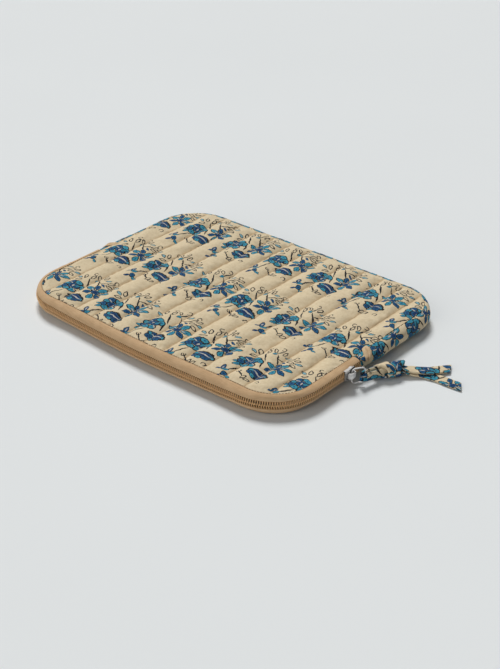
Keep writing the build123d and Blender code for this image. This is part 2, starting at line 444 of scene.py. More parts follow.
# kind, x, y, turn in degrees, half length, half width, palette ("line" is plain ink)
MOTIF = [
    # stems
    ("leaf", -2.5, 3.0, 112, 7.5, 0.85, "line"),
    ("leaf", -8.5, 16.5, 124, 9.0, 0.85, "line"),
    ("leaf", 2.5, 20.0, 128, 9.5, 0.80, "line"),
    ("leaf", 6.5, 25.0, 35, 7.0, 0.75, "line"),
    ("leaf", -3.5, 31.0, 70, 5.5, 0.70, "line"),
    ("leaf", -16.5, -17.0, 245, 8.5, 0.75, "line"),
    ("leaf", -5.0, -24.0, 320, 8.0, 0.70, "line"),
    # leaves and curls above
    ("leaf", -24.0, 20.5, 155, 4.4, 2.0, "pale"),
    ("leaf", -19.5, 24.5, 120, 4.6, 2.3, "open"),
    ("leaf", -19.5, 14.8, 215, 4.1, 2.0, "open"),
    ("leaf", -12.5, 27.5, 95, 4.1, 2.0, "open"),
    ("leaf", -5.5, 26.6, 60, 2.9, 2.1, "teal"),
    ("leaf", 1.0, 33.5, 80, 4.1, 1.9, "open"),
    ("leaf", 6.0, 31.0, 30, 3.6, 1.4, "pale"),
    ("leaf", 11.5, 28.6, 50, 4.4, 2.0, "open"),
    ("leaf", 14.0, 23.5, 5, 4.6, 2.0, "open"),
    ("leaf", 8.5, 20.5, 330, 3.6, 1.4, "blue"),
    ("leaf", 17.5, 29.5, 40, 3.7, 1.8, "open"),
    ("leaf", 19.5, 19.0, 345, 4.2, 2.0, "open"),
    ("leaf", -8.5, 32.0, 130, 4.0, 1.9, "open"),
    ("leaf", 21.5, 25.5, 20, 4.0, 1.9, "pale"),
    ("curl", -14.0, 33.5, 30, 2.7, 2.3, "line"),
    ("curl", -4.0, 38.0, 200, 2.5, 2.5, "line"),
    ("curl", 13.5, 34.0, 300, 2.3, 2.3, "line"),
    # rose
    ("leaf", -22.6, -5.4, 215, 4.2, 2.2, "teal"),
    ("leaf", -20.0, -9.0, 235, 4.8, 2.3, "teal"),
    ("disc", -21.2, 2.0, 20, 4.4, 3.8, "teal"),
    ("disc", -18.8, 7.2, 40, 4.8, 3.6, "blue"),
    ("disc", -12.6, 9.4, 350, 5.4, 3.6, "teal"),
    ("disc", -6.8, 5.8, 300, 4.6, 3.8, "teal"),
    ("disc", -8.8, -5.0, 220, 4.8, 3.6, "teal"),
    ("disc", -15.2, -6.2, 180, 4.8, 3.4, "teal"),
    ("disc", -20.2, -3.2, 150, 4.4, 3.6, "blue"),
    ("disc", -13.0, 1.8, 10, 7.0, 5.2, "navy"),
    ("leaf", -9.8, 3.8, 60, 3.8, 1.8, "teal"),
    ("leaf", -13.0, 1.6, 100, 2.8, 1.1, "cream"),
    ("leaf", -18.8, 4.6, 350, 3.6, 0.9, "cream"),
    ("leaf", -7.8, -2.6, 330, 3.0, 0.8, "cream"),
    # scalloped flower
    ("leaf", 5.4, -12.8, 352, 12.8, 7.0, "teal"),
    ("disc", -1.4, -16.8, 330, 3.6, 2.8, "blue"),
    ("disc", 4.0, -18.8, 350, 4.0, 2.8, "teal"),
    ("disc", 10.0, -17.8, 15, 4.0, 2.8, "blue"),
    ("leaf", 4.8, -10.2, 352, 9.4, 2.8, "navy"),
    ("leaf", 6.4, -14.6, 356, 9.0, 2.5, "navy"),
    ("leaf", 5.8, -12.4, 354, 9.2, 1.1, "cream"),
    # star flower
    ("leaf", 4.2, 8.8, 170, 6.4, 3.4, "teal"),
    ("leaf", 8.4, 13.8, 118, 5.0, 3.0, "blue"),
    ("leaf", 15.0, 14.0, 66, 5.8, 3.2, "teal"),
    ("leaf", 20.4, 9.6, 24, 6.8, 3.0, "teal"),
    ("leaf", 19.0, 2.4, 338, 5.8, 3.0, "blue"),
    ("leaf", 13.2, -1.8, 276, 5.6, 3.2, "teal"),
    ("leaf", 6.4, 1.6, 222, 4.8, 2.8, "blue"),
    ("disc", 12.2, 6.6, 20, 4.4, 3.6, "navy"),
    ("leaf", 17.4, 8.4, 24, 4.0, 0.9, "cream"),
    ("leaf", 7.8, 8.0, 172, 3.4, 0.9, "cream"),
    # small sprays below
    ("leaf", -24.0, -21.5, 100, 4.6, 2.6, "stripe"),
    ("leaf", -20.6, -24.6, 40, 3.8, 2.0, "teal"),
    ("leaf", -26.2, -26.0, 215, 3.4, 1.5, "blue"),
    ("disc", -17.6, -30.4, 300, 4.0, 3.0, "blue"),
    ("leaf", -12.4, -33.6, 340, 3.8, 1.9, "teal"),
    ("leaf", -20.6, -35.4, 240, 3.6, 1.7, "navy"),
    ("leaf", 0.5, -27.0, 75, 3.9, 1.8, "open"),
    ("leaf", 4.6, -27.6, 40, 3.7, 1.8, "open"),
    ("curl", -9.6, -20.0, 120, 2.5, 2.3, "line"),
    ("curl", 14.6, -25.6, 250, 2.7, 2.3, "line"),
]


def lattice(net, place):
    """Moves every point of the cloth into one half-dropped repeat, centred on its spray."""
    flat_x, flat_y, _ = split_node(net, place)
    up = math_node(net, "ADD", flat_y, -MOTIF_Y - MOTIF_LOW)
    row = math_node(net, "FLOOR", math_node(net, "DIVIDE", up, REPEAT_Y))
    odd = math_node(net, "FLOORED_MODULO", row, 2.0)
    drop = math_node(net, "MULTIPLY", odd, REPEAT_X / 2)
    across = math_node(net, "ADD", flat_x, drop)
    across = math_node(net, "ADD", across, REPEAT_X / 2 - MOTIF_X)
    local_x = math_node(net, "FLOORED_MODULO", across, REPEAT_X)
    local_y = math_node(net, "FLOORED_MODULO", up, REPEAT_Y)
    local_x = math_node(net, "ADD", local_x, -REPEAT_X / 2)
    local_y = math_node(net, "ADD", local_y, MOTIF_LOW)
    return add_node(net, "CombineXYZ", {0: local_x, 1: local_y}).outputs[0]


LEAF_FULLNESS = 0.5
LEAF_RADIUS = (1 + LEAF_FULLNESS ** 2) / (2 * LEAF_FULLNESS)
LEAF_CORE = LEAF_RADIUS - LEAF_FULLNESS
INKED = 0.94                # how much of its drawn size a filled shape prints
CURL_INNER = 0.64           # a curl is a ring from here to its edge
CURL_GAP = 0.55             # and is open beyond this


def print_shape(net, place, under, shape, ragged):
    """One printed shape laid over the colour under it, its edges wandering with ragged."""
    kind, x, y, turn, half_length, half_width, palette = shape
    leaf = kind == "leaf"
    width = half_width / LEAF_FULLNESS if leaf else half_width
    grow = 1.0 if palette in ("line", "open") else INKED
    local = mapping_node(net, place, "TEXTURE", Location=(x, y, 0),
                         Rotation=(0, 0, math.radians(turn)),
                         Scale=(half_length * grow, width * grow, 1))
    spot = local
    if leaf:
        spot = vector_node(net, "ADD", vector_node(net, "ABSOLUTE", spot), (0, LEAF_CORE, 0))
    reach = vector_node(net, "LENGTH", spot, output="Value")
    if leaf:
        reach = math_node(net, "MULTIPLY_ADD", reach, 1 / LEAF_FULLNESS, -LEAF_CORE / LEAF_FULLNESS)
    reach = math_node(net, "ADD", reach, ragged)
    inside = math_node(net, "LESS_THAN", reach, 1.0)
    if kind == "curl":
        band = math_node(net, "GREATER_THAN", reach, CURL_INNER)
        gap = math_node(net, "LESS_THAN", split_node(net, local)[0], CURL_GAP)
        inside = math_node(net, "MULTIPLY", inside, band)
        inside = math_node(net, "MULTIPLY", inside, gap)
    ink = INK if palette == "line" else ramp_node(net, reach, PALETTES[palette])
    return mix_node(net, inside, under, ink)


def print_group():
    """Node group: flat cloth coordinates in; printed colour, with painted shade in the creases, out."""
    net = bpy.data.node_groups.new("block_print", "ShaderNodeTree")
    net.interface.new_socket("Place", in_out="INPUT", socket_type="NodeSocketVector")
    net.interface.new_socket("Color", in_out="OUTPUT", socket_type="NodeSocketColor")
    place = net.nodes.new("NodeGroupInput").outputs[0]
    wander = noise_node(net, place, 0.16, 2.0, output="Color")
    local = lattice(net, vector_node(net, "MULTIPLY_ADD", wander, (3.0, 3.0, 0.0), place))
    slub = noise_node(net, place, 0.35, 4.0)
    ground = ramp_node(net, slub, [
        (0.25, (0.64, 0.515, 0.33)), (0.5, GROUND), (0.75, (0.745, 0.635, 0.445)),
    ])
    # painted shade: the third flat coordinate darkens the ground in the crease beside a stitched line, where
    # shade falls
    crease_shade = math_node(net, "DIVIDE", split_node(net, place)[2], CREASE_SHADE_WIDTH)
    crease_shade = ramp_node(net, crease_shade, [(0.0, (0.75,) * 3), (0.3, (0.35,) * 3), (1.0, (0.0,) * 3)])
    colour = mix_node(net, crease_shade, ground, CREASE_SHADE)
    grain = noise_node(net, place, 0.8)
    ragged = math_node(net, "MULTIPLY_ADD", grain, 0.5, -0.25)
    for shape in MOTIF:
        colour = print_shape(net, local, colour, shape, ragged)
    net.links.new(colour, net.nodes.new("NodeGroupOutput").inputs[0])
    return net


def cloth_shader(name, colour_maker, weave=0.9, weave_strength=0.35):
    """Woven cotton. colour_maker gives the colour from the flat coordinates."""
    material, net, shader = new_material(name)
    place = flat_vector(net)
    wave = 2 * math.pi / weave
    warp, weft = (math_node(net, "SINE", math_node(net, "MULTIPLY", way, wave))
                  for way in split_node(net, place)[:2])
    check = math_node(net, "MULTIPLY", warp, weft)
    fuzz = noise_node(net, place, 0.9, 5.0, 0.7)
    height = math_node(net, "MULTIPLY_ADD", check, 0.25, fuzz)
    set_inputs(net, shader, {
        "Base Color": colour_maker(net, place),
        "Normal": bump_node(net, height, weave_strength, 0.0005),
        "Roughness": math_node(net, "MULTIPLY_ADD", fuzz, 0.12, 0.84),
        "Sheen Weight": 0.06,
        "Sheen Roughness": 0.5,
        "Specular IOR Level": 0.25,
    })
    return material


def printed_at(*offset):
    """A colour maker for the printed cotton, with the print slid over the cloth."""
    def maker(net, place):
        slid = mapping_node(net, place, Location=(*offset, 0))
        return add_node(net, "Group", {0: slid}, node_tree=block_print).outputs[0]
    return maker


def plain_cloth(dark, light):
    """A colour maker for undyed or plain cotton with an uneven yarn."""
    def maker(net, place):
        yarn = noise_node(net, mapping_node(net, place, Scale=(0.12, 1.1, 1)), 1.4, 4.0)
        blotch = noise_node(net, place, 0.09, 2.0)
        both = math_node(net, "MULTIPLY", yarn, 0.55)
        both = math_node(net, "MULTIPLY_ADD", blotch, 0.45, both)
        return ramp_node(net, both, [(0.32, dark), (0.68, light)])
    return maker


def fibre_shader(name, dark, light, scale, roughness, coat=0.0):
    """Thread or zip nylon: fine grain with a little variation."""
    material, net, shader = new_material(name)
    grain = noise_node(net, object_vector(net), scale)
    set_inputs(net, shader, {
        "Base Color": ramp_node(net, grain, [(0.3, dark), (0.7, light)]),
        "Normal": bump_node(net, grain, 0.25, 0.0002),
        "Roughness": math_node(net, "MULTIPLY_ADD", grain, 0.15, roughness),
        "Coat Weight": coat,
    })
    return material


def metal_shader(name, dark, light):
    """Nickel-plated die casting, cloudy and finely scratched."""
    material, net, shader = new_material(name)
    place = object_vector(net)
    fine = noise_node(net, mapping_node(net, place, Scale=(900, 5200, 900)), 1.0)
    cloud = noise_node(net, place, 420)
    set_inputs(net, shader, {
        "Base Color": ramp_node(net, cloud, [(0.3, dark), (0.7, light)]),
        "Roughness": math_node(net, "MULTIPLY_ADD", fine, 0.20, 0.58),
        "Normal": bump_node(net, fine, 0.12, 0.0001),
        "Metallic": 1.0,
    })
    return material


block_print = print_group()
printed = cloth_shader("printed_cotton_panel", printed_at(0, 0))
printed_wall = cloth_shader("printed_cotton_wall", printed_at(-62.0, -26.0))
printed_low = cloth_shader("printed_cotton_underside", printed_at(20.0, 30.0))
printed_tie = cloth_shader("printed_cotton_tie", printed_at(14.8, -7.0))
tan_cotton, tab_cotton, lining_cotton, tape_painted_shade = (
    cloth_shader(name, plain_cloth(dark, light), weave, strength)
    for name, dark, light, weave, strength in (
        ("tan_cotton_binding", (0.52, 0.335, 0.18), (0.66, 0.455, 0.265), 0.8, 0.45),
        ("tan_cotton_tab", (0.60, 0.42, 0.25), (0.72, 0.54, 0.34), 0.8, 0.45),
        ("lining_cotton", (0.44, 0.33, 0.21), (0.56, 0.44, 0.29), 1.0, 0.3),
        # zip tape: near black-brown, as painted shade for the gaps between the coil's loops
        ("zip_tape_weave", (0.075, 0.034, 0.012), (0.125, 0.060, 0.024), 0.7, 0.6),
    )
)
coil_nylon = fibre_shader("coil_nylon", (0.70, 0.41, 0.18), (0.88, 0.56, 0.27), 500, 0.34, 0.3)
# dark brown thread, painted shade: in the ditch at the binding's seam it stands in for the crease's shade;
# the coil's sewing uses it too
thread_painted_shade = fibre_shader("thread_painted_shade", (0.20, 0.105, 0.045), (0.31, 0.175, 0.08), 1800, 0.7)
sand_thread = fibre_shader("sand_thread", (0.46, 0.34, 0.20), (0.60, 0.46, 0.29), 1800, 0.7)
zip_nickel = metal_shader("zip_nickel", (0.30, 0.295, 0.29), (0.46, 0.455, 0.45))
# near-black copy of the nickel: painted shade for the recess in the slider's outer face
zip_hollow_painted_shade = metal_shader("zip_nickel_hollow_painted_shade", (0.07, 0.07, 0.07), (0.16, 0.155, 0.15))
# lighter copy of the same nickel for the bridge and ring: painted light, for how brightly they catch the
# light
zip_nickel_painted_light = metal_shader("zip_nickel_bright_painted_light", (0.66, 0.655, 0.65), (0.86, 0.855, 0.85))


# ---------------------------------------------------------------- camera, light and floor

# Fitted to the photograph's outline
CAMERA_AZIMUTH, CAMERA_ELEVATION = 40.69, 30.42
CAMERA_TARGET = (0.04538, -0.02424, 0)
CAMERA_AWAY = 1.18
CAMERA_LENS, CAMERA_SENSOR = 67.36, 36


def add_camera():
    azimuth, elevation = math.radians(CAMERA_AZIMUTH), math.radians(CAMERA_ELEVATION)
    away = Vector((
        math.sin(azimuth) * math.cos(elevation),
        -math.cos(azimuth) * math.cos(elevation),
        math.sin(elevation),
    ))
    camera = bpy.data.objects.new("camera", bpy.data.cameras.new("camera"))
    camera.data.lens = CAMERA_LENS
    camera.data.sensor_width = CAMERA_SENSOR
    camera.location = Vector(CAMERA_TARGET) + away * CAMERA_AWAY
    camera.rotation_euler = away.to_track_quat("Z", "Y").to_euler()
    scene.collection.objects.link(camera)
    scene.camera = camera


def add_sun(name, direction, strength, spread, colour):
    """Wide soft light from a direction, spread in degrees, even over the whole floor."""
    light = bpy.data.lights.new(name, "SUN")
    light.energy = strength
    light.angle = math.radians(spread)
    light.color = colour
    lamp = bpy.data.objects.new(name, light)
    lamp.rotation_euler = Vector(direction).to_track_quat("Z", "Y").to_euler()
    scene.collection.objects.link(lamp)


def add_world(colour, strength):
    world = bpy.data.worlds.new("studio")
    world.use_nodes = True
    background = world.node_tree.nodes["Background"]
    background.inputs["Color"].default_value = (*colour, 1)
    background.inputs["Strength"].default_value = strength
    scene.world = world


FLOOR_HALF = 6000.0


def add_floor():
    material, net, shader = new_material("studio_floor")
    mottle = noise_node(net, object_vector(net), 2.2, 2.0)
    tint = [(0.2, (0.765, 0.795, 0.812)), (0.8, (0.785, 0.815, 0.832))]
    set_inputs(net, shader, {
        "Base Color": ramp_node(net, mottle, tint), "Roughness": 0.8, "Specular IOR Level": 0.2,
    })
    corners = [(x * FLOOR_HALF, y * FLOOR_HALF, 0) for x, y in ((-1, -1), (1, -1), (1, 1), (-1, 1))]
    mesh_piece("floor", corners, [(0, 1, 2, 3)], material, closed=False, soft=False)


add_camera()
add_sun("key", (-0.72, 0.62, 1.25), 2.58, 22, (1.0, 0.99, 0.97))
add_sun("fill", (-0.1, -1.0, 0.32), 1.05, 60, (1.0, 0.98, 0.95))
add_world((0.97, 0.99, 1.0), 0.165)
add_floor()


# ---------------------------------------------------------------- quilted panels

ROW_STEP = 2.9


def panel_columns(phase, offsets):
    """Grid columns: the same offsets from every stitched line, and more towards the rounded ends."""
    first = math.floor((-PANEL_X - phase) / PITCH)
    last = math.ceil((PANEL_X - phase) / PITCH)
    columns = [phase + PITCH * k + offset for k in range(first, last + 1) for offset in offsets]
    ends = [PANEL_X, PANEL_X - 0.5, PANEL_X - 1.4]
    inner = [x for x in columns if abs(x) < PANEL_X - 2.2]
    return np.array(sorted([*inner, *ends, *[-x for x in ends]]))


def half_depth(x):
    """Half the panel's depth at a place along it."""
    over = np.clip(np.abs(x) - PANEL_X + PANEL_CORNER, 0, PANEL_CORNER)
    return PANEL_Y - PANEL_CORNER + np.sqrt(PANEL_CORNER ** 2 - over ** 2)


CLOTH_ROOM = 0.25           # left below the crest for the cloth to swell


def channel_height(x, y, phase):
    """Height of the puffed channels, with gathers beside the stitched lines and a dip to the seam."""
    u = ((x - phase) / PITCH) % 1.0
    away = np.minimum(u, 1 - u) * PITCH
    puff = np.sin(math.pi * u) ** 0.55
    gather = ripples(x * 0.35, y, 9, 5.0, 13.0, 3)
    wrinkle = 0.30 * gather * np.exp(-((away - 2.4) / 3.4) ** 2)
    drift = 0.26 * ripples(x, y, 9, 16.0, 60.0, 4)
    height = FURROW + (CREST - FURROW - CLOTH_ROOM) * puff + wrinkle + drift * puff
    dip = fade(edge_distance(x, y), -0.4, 7.5)
    return SEAM_Z + (height - SEAM_Z) * dip


FINE_OFFSETS = (0, 0.9, 2.7, 5.3, 8.4, 11.7, 15.0, 18.1, 20.7, 22.5)
COARSE_OFFSETS = (0, 2.6, 7.2, 11.7, 16.2, 20.8)


def panel_grid(phase, offsets):
    columns = panel_columns(phase, offsets)
    rows = round(2 * PANEL_Y / ROW_STEP) + 1
    t = np.linspace(-1, 1, rows)
    x = np.broadcast_to(columns, (rows, len(columns)))
    y = t[:, None] * half_depth(columns)[None, :]
    return x, y


def from_stitch(x, phase):
    """Distance from the nearest stitched line."""
    return np.abs(((x - phase) / PITCH + 0.5) % 1.0 - 0.5) * PITCH


def print_place(x, y, phase):
    """Flat coordinates of a panel: its print runs a little out of true to the front, and the third
    is the distance from the nearest stitched line."""
    front = np.clip((-9 - y) / 83, 0, 1.4)
    across = x + 5.7 * front
    along = y - front * (4 + 8 * fade(x, 40, 70))
    return np.stack([across, along, from_stitch(x, phase)], axis=2)


def swell(piece, pinned):
    """Cloth held along its seams and stitched lines swells between them, by no more than the cap."""
    group = piece.vertex_groups.new(name="held")
    group.add([int(k) for k in np.flatnonzero(pinned)], 1.0, "REPLACE")
    start = np.empty(len(piece.data.vertices) * 3)
    piece.data.vertices.foreach_get("co", start)
    cloth = piece.modifiers.new("swell", "CLOTH")
    settings = cloth.settings
    settings.quality = 5
    settings.mass = 0.1
    settings.tension_stiffness = 20
    settings.compression_stiffness = 20
    settings.shear_stiffness = 8
    settings.bending_stiffness = 0.4
    settings.vertex_group_mass = "held"
    settings.shrink_min = -SWELL_GROW
    settings.use_pressure = True
    settings.uniform_pressure_force = SWELL_PRESSURE
    settings.effector_weights.gravity = 0
    for frame_number in range(1, SWELL_FRAMES + 1):
        scene.frame_set(frame_number)
    graph = bpy.context.evaluated_depsgraph_get()
    moved_mesh = piece.evaluated_get(graph).data
    moved = np.empty(len(moved_mesh.vertices) * 3)
    moved_mesh.vertices.foreach_get("co", moved)
    piece.modifiers.clear()
    start, moved = start.reshape(-1, 3), moved.reshape(-1, 3)
    shift = moved - start
    far = np.linalg.norm(shift, axis=1, keepdims=True)
    shift = shift * np.minimum(1.0, SWELL_CAP * MM / np.maximum(far, 1e-9))
    piece.data.vertices.foreach_set("co", (start + shift).ravel())
    piece.data.update()
    scene.frame_set(1)


def padded_panel(name, phase, material, turned=False):
    """A quilted pad: printed cloth swollen between its stitched lines, over a flat back."""
    x, y = panel_grid(phase, FINE_OFFSETS)
    top = np.stack([x, y, channel_height(x, y, phase)], axis=2)
    piece = mesh_piece(name, top, grid_faces(*x.shape), material, print_place(x, y, phase), closed=False)
    pinned = from_stitch(x, phase) < 0.2
    pinned[[0, -1], :] = True
    pinned[:, [0, -1]] = True
    swell(piece, pinned.ravel())
    smoothed(piece)
    return close_pad(piece, turned)


def close_pad(piece, turned):
    """Gives a panel its flat back, and turns the lower one over with its channels pressed flat."""
    shell = bmesh.new()
    shell.from_mesh(piece.data)
    back = bmesh.ops.duplicate(shell, geom=shell.faces[:] + shell.verts[:] + shell.edges[:])["geom"]
    for vertex in [item for item in back if isinstance(item, bmesh.types.BMVert)]:
        vertex.co.z = LINING_TOP * MM
    rims = [edge for edge in shell.edges if edge.is_boundary]
    bmesh.ops.bridge_loops(shell, edges=rims)
    if turned:
        for vertex in shell.verts:
            x, y, z = (value / MM for value in vertex.co)
            z = max(2 * MID - z - GROUND_FLAT, 0.1)
            vertex.co.z = (z + float(sag(x, y, z))) * MM
    bmesh.ops.recalc_face_normals(shell, faces=shell.faces)
    for face in shell.faces:
        face.smooth = True
    shell.to_mesh(piece.data)
    shell.free()
    return piece


def lining_sheet(name, phase, turned=False):
    """The pocket's lining, drawn up a little along the stitched lines."""
    x, y = panel_grid(phase, COARSE_OFFSETS)
    drawn_up = 0.45 * np.exp(-(from_stitch(x, phase) / 2.2) ** 2)
    under = POCKET_TOP + drawn_up + 0.08 * ripples(x, y, 8, 9.0, 30.0, 21)
    layers = [np.stack([x, y, z], axis=2) for z in (under, np.full_like(x, LINING_TOP))]
    flat = [np.stack([x, y, 0 * x], axis=2)] * 2
    return mesh_piece(name, mirrored(layers, turned), sheet_faces(*x.shape), lining_cotton, flat)


# ---------------------------------------------------------------- stitches

def round_rings(path, side, rise, radius, sides):
    """Rings of round tube about a path, from two directions across it at each point."""
    angles = np.linspace(0, 2 * math.pi, sides, endpoint=False)[None, :, None]
    return path[:, None, :] + (side * np.cos(angles) + rise[:, None, :] * np.sin(angles)) * radius


def tube_points(path, radius, sides, up):
    """Rings of a round tube along an open millimetre path."""
    path = np.asarray(path, float)
    tangent = tangents(path)
    side = np.cross(tangent, np.asarray(up, float))
    side /= np.maximum(np.linalg.norm(side, axis=1, keepdims=True), 1e-9)
    radius = np.broadcast_to(radius, len(path))[:, None, None]
    return round_rings(path, side[:, None, :], np.cross(side, tangent), radius, sides)


STITCH_RINGS, STITCH_SIDES = 5, 6
STITCH_POINTS = STITCH_RINGS * STITCH_SIDES
STITCH_UP = (0.13, 0.31, 0.94)      # a direction that no stitched line runs in


def stitch_run(path, length, gap, radius, dive, normal):
    """Stitches along a line: short threads whose ends sink into the cloth."""
    path = np.asarray(path, float)
    along = distances(path)
    normal = np.broadcast_to(np.asarray(normal, float), path.shape)
    points, faces = [], []
    rise = dive * np.array([-1.0, 0.25, 1.0, 0.25, -1.0])
    thick = radius * np.array([0.7, 1, 1, 1, 0.7])
    for k in range(int(along[-1] // length)):
        begin = k * length + gap / 2 + 0.15 * math.sin(k * 2.3)
        places = np.linspace(begin, begin + length - gap, STITCH_RINGS)
        spots = sampled(path, along, places) + sampled(normal, along, places) * rise[:, None]
        faces += tube_faces(STITCH_RINGS, STITCH_SIDES, first=k * STITCH_POINTS)
        points.append(tube_points(spots, thick, STITCH_SIDES, STITCH_UP))
    return points, faces


def stitch_piece(name, runs, material):
    """One object from several stitch runs."""
    points, faces, total = [], [], 0
    for run_points, run_faces in runs:
        faces += [tuple(k + total for k in face) for face in run_faces]
        points += run_points
        total += STITCH_POINTS * len(run_points)
    return mesh_piece(name, points, faces, material)


def quilting_stitches(name, panel, phase, turned=False):
    """Stitched lines lying on the panel's own surface."""
    mesh = panel.data
    surface = BVHTree.FromPolygons([v.co for v in mesh.vertices], [p.vertices for p in mesh.polygons])
    side = -1 if turned else 1
    runs = []
    first = math.ceil((-PANEL_X + 3 - phase) / PITCH)
    last = math.floor((PANEL_X - 3 - phase) / PITCH)
    for k in range(first, last + 1):
        x = phase + PITCH * k
        reach = float(half_depth(np.array([x]))[0]) - 1.2
        y = np.linspace(-reach, reach, 120)
        line = np.stack([np.full_like(y, x), y, 0 * y], axis=1)
        z = [surface.ray_cast((x * MM, place * MM, side * 0.05), (0, 0, -side))[0].z / MM
             for place in settled(line)[:, 1]]
        line[:, 2] = np.array(z) + 0.10 * side
        runs.append(stitch_run(line, STITCH, STITCH_GAP, 0.20, 0.16, (0, 0, side)))
    return stitch_piece(name, runs, sand_thread)


upper_panel = padded_panel("upper_panel", TOP_PHASE, printed)
upper_lining = lining_sheet("upper_lining", TOP_PHASE)
upper_stitches = quilting_stitches("upper_quilting_stitches", upper_panel, TOP_PHASE)
for piece, slot, nodes_replaced in (
    (upper_panel, "printed_cotton",
     ("upper_rear_outer", "upper_rear_wadding", "flap_outer", "flap_wadding")),
    (upper_lining, "lining", ("upper_rear_lining", "flap_lining")),
    (upper_stitches, "quilting_thread", ("upper_rear_quilting_thread", "flap_quilting_thread")),
):
    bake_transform(piece)
    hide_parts(*nodes_replaced)

lower_panel = padded_panel("lower_panel", LOW_PHASE, printed_low, turned=True)
lower_lining = lining_sheet("lower_lining", LOW_PHASE, turned=True)
lower_stitches = quilting_stitches("lower_quilting_stitches", lower_panel, LOW_PHASE, turned=True)
for piece, slot, nodes_replaced in (
    (lower_panel, "printed_cotton", ("lower_outer", "lower_wadding")),
    (lower_lining, "lining", ("lower_lining",)),
    (lower_stitches, "quilting_thread", ("lower_quilting_thread",)),
):
    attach(piece, "sleeve")
    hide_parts(*nodes_replaced)


# ---------------------------------------------------------------- rear wall

def wall_piece():
    """Padded printed wall round the back, drawn in at its two seams."""
    line = rim_line(WALL_START, 1, 2.6)
    outer = rim_section(line, 0, -90, 90, 19)
    inner = rim_section(line, 3.6, -85, 85, 7)[:, ::-1]
    places = rim_points(line, np.concatenate([outer, inner], axis=1))
    along = line[2][:, None]
    outer = outer[len(outer) // 2]
    around = distances(outer)
    middle = np.sin(math.pi * around / around[-1])[None, :]
    seam = np.exp(-((1 - middle) ** 2) / 0.18)
    swell_out = 0.45 * middle ** 0.6 + 0.30 * ripples(along, around[None, :], 9, 26, 70, 5) * middle
    gather = 0.28 * ripples(along, around[None, :] * 0.2, 10, 5.5, 15, 6)
    bulge = (swell_out + gather * (1 - seam * 0.75) * middle ** 0.35 - 0.35)[:, :, None]
    direction = np.zeros((len(line[0]), len(outer), 3))
    tilt = np.arctan2((outer[:, 1] - MID) * RIM / RIM_RISE, outer[:, 0] + RIM)
    direction[:, :, :2] = line[1][:, None, :] * np.cos(tilt)[None, :, None]
    direction[:, :, 2] = np.sin(tilt)[None, :]
    places[:, :len(outer)] += direction * bulge
    places[:, :, 2] = np.maximum(places[:, :, 2], 0.3)
    across = np.concatenate([around, np.full(inner.shape[1], around[-1])])
    piece = mesh_piece("rear_wall", places, tube_faces(*places.shape[:2]), printed_wall,
                       plain_flat(along, across))
    return smoothed(piece)


def wall_lining_piece():
    line = rim_line(WALL_START, 1, 5.0)
    outer = rim_section(line, 3.7, -88, 88, 9)
    inner = rim_section(line, 4.4, -85, 85, 9)[:, ::-1]
    return rim_piece("wall_lining", line, np.concatenate([outer, inner], axis=1), lining_cotton)


rear_wall = wall_piece()
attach(rear_wall, "sleeve")
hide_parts("wall_outer", "wall_wadding")
wall_lining = wall_lining_piece()
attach(wall_lining, "sleeve")
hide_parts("wall_lining")


# ---------------------------------------------------------------- bindings

HEM = 4.0                   # height of a binding's free edge from the zip's middle line


def binding_piece(name, end, turned):
    """Bias binding over the zip tape: tucked in at the seam, rounded, and folded under at its hem."""
    line = rim_line(end, -1, 2.2)
    along = line[2][:, None]
    rise = LOW_RISE if turned else RIM_RISE
    low = math.degrees(math.asin(HEM / rise))
    count = 11
    outer = rim_section(line, 0, low, 90, count, rise)
    tuck = outer[:, -1:] + np.array([-0.8, -1.0])
    inner = rim_section(line, 1.7, low + 3, 82, 6, rise)[:, ::-1]
    hem = np.array([[-1.9, MID + HEM - 0.25], [-1.05, MID + HEM - 0.3]])
    hem = np.broadcast_to(hem, (len(outer), 2, 2))
    places = np.concatenate([outer, tuck, inner, hem], axis=1)
    outer = outer[len(outer) // 2]
    v = np.linspace(0, 1, count)[None, :]
    full = np.sin(math.pi * np.clip(v * 0.92 + 0.04, 0, 1)) ** 0.7
    bulge = 0.42 * full + 0.15 * ripples(along, v * 6, 9, 7, 22, 8 + turned) * full
    bulge += 0.12 * ripples(along, v * 2, 8, 3.2, 6.5, 18 + turned) * np.exp(-((1 - v) / 0.28) ** 2)
    tilt = np.arctan2((outer[:count, 1] - MID) * RIM / RIM_RISE, outer[:count, 0] + RIM)
    places[:, :count, 0] += bulge * np.cos(tilt)
    places[:, :count, 1] += bulge * np.sin(tilt) * 0.6
    places[:, 0, 1] += 0.12 * ripples(line[2], 0 * line[2], 6, 9, 30, 4)
    if turned:
        places = mirrored(places)
        places[..., 1] = np.maximum(places[..., 1], 0.2)
    piece = rim_piece(name, line, places, tan_cotton)
    return smoothed(piece)


def binding_stitches(name, end, turned):
    """Top stitching in the ditch between the binding and the printed panel, in the dark thread that paints
    the crease's shade.
    """
    rim = rim_line(end, -1, 1.2)
    points, outward, _ = rim
    inset = seam_inset(rim)[:, None] - 0.15
    rise = LOW_RISE if turned else RIM_RISE
    line = np.concatenate([points - outward * inset, np.full((len(points), 1), MID + rise + 0.10)], axis=1)
    normal = (0, 0, -1 if turned else 1)
    runs = [stitch_run(mirrored(line, turned), 2.7, 0.7, 0.24, 0.22, normal)]
    return stitch_piece(name, runs, thread_painted_shade)


for half, body, end, turned in (("upper", "flap", FLAP_END, False), ("lower", "sleeve", MOUTH_END, True)):
    binding = binding_piece(f"{half}_bias_binding", end, turned)
    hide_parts(f"{half}_binding")
    stitches = binding_stitches(f"{half}_binding_stitches", end, turned)
    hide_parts(f"{half}_binding_thread")
    for piece in (binding, stitches):
        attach(piece, body)


# ---------------------------------------------------------------- zip

TOOTH_PITCH = 2.2
WIRE = 0.4                  # radius of the coil's nylon
WIRE_SIDES = 6
